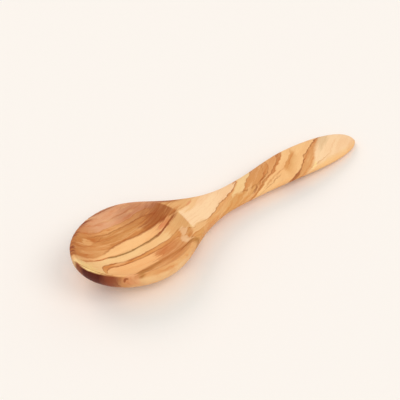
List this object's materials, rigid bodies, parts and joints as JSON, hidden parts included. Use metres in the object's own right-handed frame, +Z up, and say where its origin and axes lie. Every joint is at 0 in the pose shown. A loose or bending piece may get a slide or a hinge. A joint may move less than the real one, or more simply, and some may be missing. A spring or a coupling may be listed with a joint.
{
  "type": "rice ladle",
  "caption": "One-piece olive wood rice ladle with a wide oval bowl, slim neck and arched handle, for scooping and serving cooked rice.",
  "frame": {"origin": "middle of the part's box, on the table, which the flat under the belly and the end of the handle both touch", "axes": "+X along the ladle from the bowl to the end of the handle, +Z up"},
  "size_m": [0.2088, 0.068, 0.0255],
  "materials": {
    "olive_wood": "sanded and oiled, satin"
  },
  "bodies": {
    "root": {"ladle": "olive_wood"}
  },
  "joints": []
}
